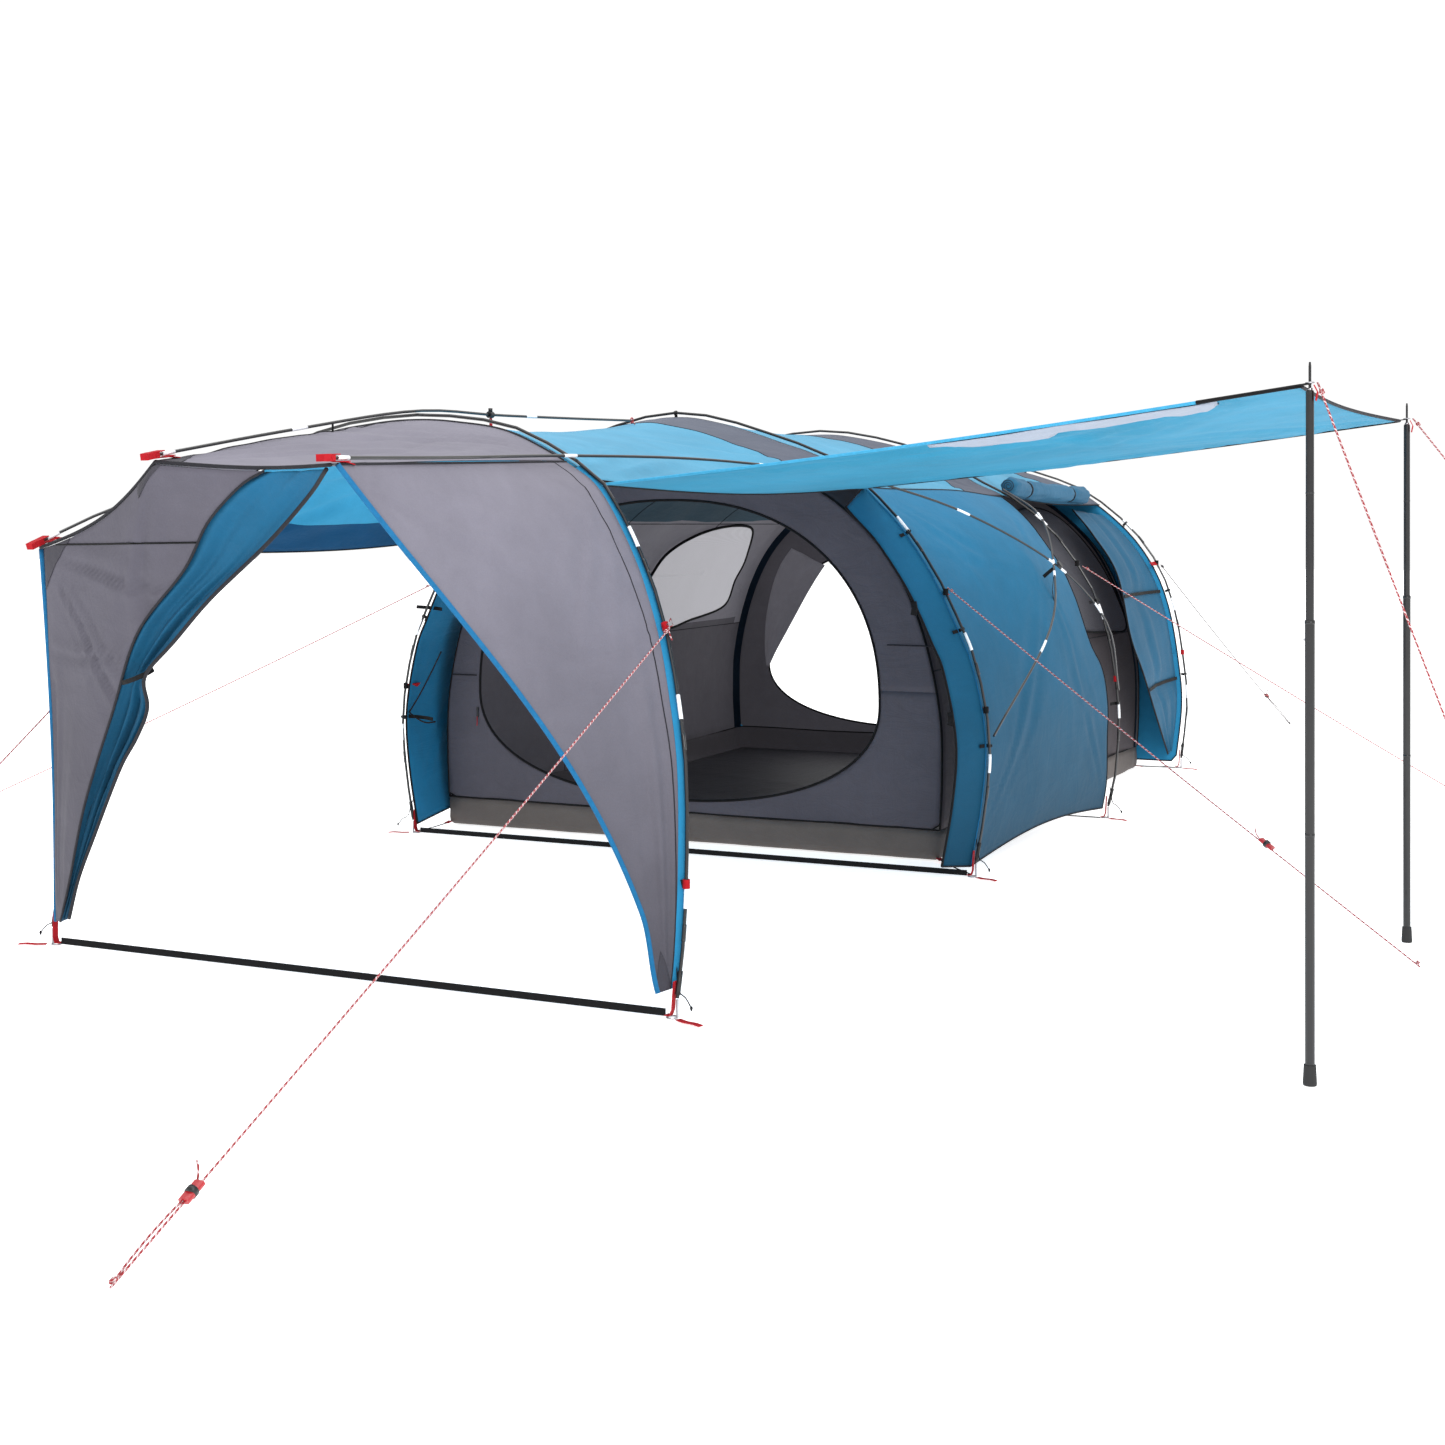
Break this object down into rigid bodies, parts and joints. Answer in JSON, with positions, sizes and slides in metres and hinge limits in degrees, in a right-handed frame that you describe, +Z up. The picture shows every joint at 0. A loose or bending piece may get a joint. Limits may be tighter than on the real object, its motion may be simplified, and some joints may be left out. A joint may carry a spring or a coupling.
{
  "type": "tunnel tent",
  "caption": "Arched tunnel tent with an open front porch, an inner sleeping room, and a side awning held up on upright poles, pegged out with guy ropes.",
  "frame": {"origin": "bottom centre of the tent's box, guy ropes and their tensioners left out, at ground level", "axes": "+Z up, +Y back along the tunnel from the porch to the rear wall, +X towards the awning side"},
  "size_m": [9.0536, 12.4035, 2.1465],
  "materials": {
    "pole_black": "satin black fibreglass pole",
    "steel_black": "black coated steel tube",
    "steel": "zinc plated",
    "rubber": "matte black",
    "plastic_black": "matte black",
    "plastic_red": "gloss red",
    "webbing_black": "woven black webbing",
    "rope_red": "braided red cord with a white fleck",
    "cloth_grey": "grey coated polyester",
    "cloth_blue": "blue coated polyester",
    "cloth_light_blue": "light blue coated polyester",
    "cloth_dark_grey": "dark grey thin polyester",
    "groundsheet": "grey-brown coated groundsheet"
  },
  "bodies": {
    "tent": {"arch_pole_front": "pole_black", "ground_strap_front": "webbing_black", "foot_pin_front_left": "steel", "foot_pin_front_right": "steel", "arch_pole_porch": "pole_black", "ground_strap_porch": "webbing_black", "foot_pin_porch_left": "steel", "foot_pin_porch_right": "steel", "arch_pole_middle": "pole_black", "ground_strap_middle": "webbing_black", "foot_pin_middle_left": "steel", "foot_pin_middle_right": "steel", "arch_pole_rear": "pole_black", "ground_strap_rear": "webbing_black", "foot_pin_rear_left": "steel", "foot_pin_rear_right": "steel", "porch_ridge_pole": "pole_black", "porch_purlin_right": "pole_black", "porch_purlin_left": "pole_black", "brace_pole_front": "pole_black", "brace_pole_rear": "pole_black", "ridge_clip": "plastic_black", "brace_hub": "plastic_black", "awning_pole_1_upper": "steel_black", "awning_pole_2_upper": "steel_black", "fly_roof_front": "cloth_light_blue", "fly_roof_middle": "cloth_light_blue", "fly_roof_rear": "cloth_light_blue", "fly_side_right": "cloth_blue", "fly_side_left": "cloth_blue", "fly_rear_wall": "cloth_blue", "porch_door": "cloth_blue", "awning_canopy": "cloth_blue", "rear_curtain_right": "cloth_blue", "rear_curtain_left": "cloth_blue", "rolled_cover_right": "cloth_blue", "rolled_cover_left": "cloth_blue", "inner_front_wall": "cloth_dark_grey", "inner_rear_wall": "cloth_dark_grey", "inner_tent_shell": "cloth_dark_grey", "tub_groundsheet": "groundsheet", "porch_roof": "cloth_grey", "porch_wing_right": "cloth_grey", "porch_wing_left": "cloth_grey", "guy_rope_front_right": "rope_red", "guy_rope_front_left": "rope_red", "guy_rope_porch_left": "rope_red", "guy_rope_middle_right": "rope_red", "guy_rope_rear_right": "rope_red", "guy_rope_back_right": "rope_red", "guy_rope_awning_front": "rope_red", "guy_rope_awning_rear": "rope_red"},
    "awning_pole_1_lower_section": {"awning_pole_1_lower": "steel_black", "awning_pole_1_foot": "rubber"},
    "awning_pole_2_lower_section": {"awning_pole_2_lower": "steel_black", "awning_pole_2_foot": "rubber"},
    "tensioner_front_right_slider": {"tensioner_front_right": "plastic_red"},
    "tensioner_middle_right_slider": {"tensioner_middle_right": "plastic_red"},
    "tensioner_back_right_slider": {"tensioner_back_right": "plastic_red"},
    "door_zip": {"door_zip_slider": "plastic_black"}
  },
  "joints": [
    {"name": "awning_pole_1_length", "type": "slide", "parent": "tent", "child": "awning_pole_1_lower_section", "axis": [0, 0, 1], "range_m": [0, 0.33]},
    {"name": "awning_pole_2_length", "type": "slide", "parent": "tent", "child": "awning_pole_2_lower_section", "axis": [0, 0, 1], "range_m": [0, 0.33]},
    {"name": "tensioner_front_right_slide", "type": "slide", "parent": "tent", "child": "tensioner_front_right_slider", "axis": [-0.003, 0.909, 0.4169], "range_m": [0, 0.25]},
    {"name": "tensioner_middle_right_slide", "type": "slide", "parent": "tent", "child": "tensioner_middle_right_slider", "axis": [-0.7832, 0.3828, 0.49], "range_m": [0, 0.25]},
    {"name": "tensioner_back_right_slide", "type": "slide", "parent": "tent", "child": "tensioner_back_right_slider", "axis": [-0.131, -0.9073, 0.3996], "range_m": [0, 0.25]},
    {"name": "door_zip_slide", "type": "slide", "parent": "tent", "child": "door_zip", "axis": [0, 0, 1], "range_m": [0, 0.12]}
  ]
}
